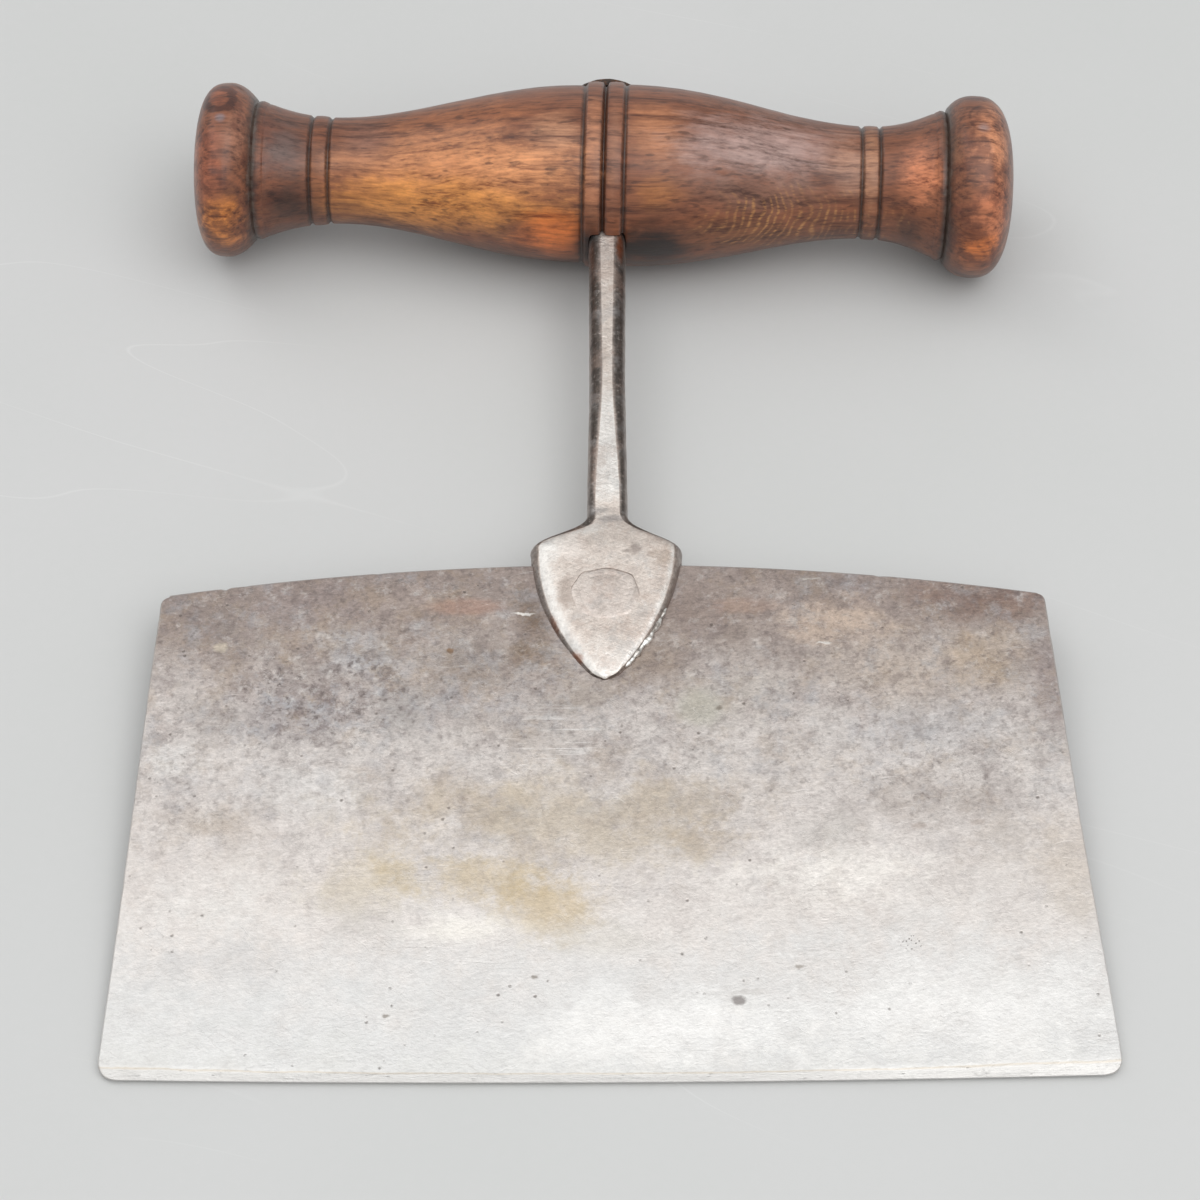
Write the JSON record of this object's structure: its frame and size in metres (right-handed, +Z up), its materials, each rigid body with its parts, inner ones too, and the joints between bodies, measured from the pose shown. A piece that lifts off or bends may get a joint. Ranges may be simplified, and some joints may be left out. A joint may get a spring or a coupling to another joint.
{
  "type": "mezzaluna chopper",
  "caption": "Hand chopper with a wide, almost straight steel blade on a forged iron shank and a turned wooden cross handle.",
  "frame": {"origin": "bottom centre of the bounding box, on the surface the tool lies on", "axes": "+X along the cutting edge to the right, -Y from the handle to the edge, +Z up out of the blade's front face, which tilts 5 degrees down to the edge"},
  "size_m": [0.1504, 0.188, 0.0315],
  "materials": {
    "blade_steel": "carbon steel sheet with ground bright lower part and brown-grey patina above",
    "forged_iron": "forged, filed and rubbed bright on top, dark in the flanks",
    "rivet_iron": "filed flush, worn",
    "turned_hardwood": "turned, darkened by oil and handling, grooves filled with grime",
    "burr_iron": "dark hammered iron"
  },
  "bodies": {
    "root": {"blade": "blade_steel", "shank_forging": "forged_iron", "cheek_rivet": "rivet_iron", "handle": "turned_hardwood", "tang_burr": "burr_iron"}
  },
  "joints": []
}
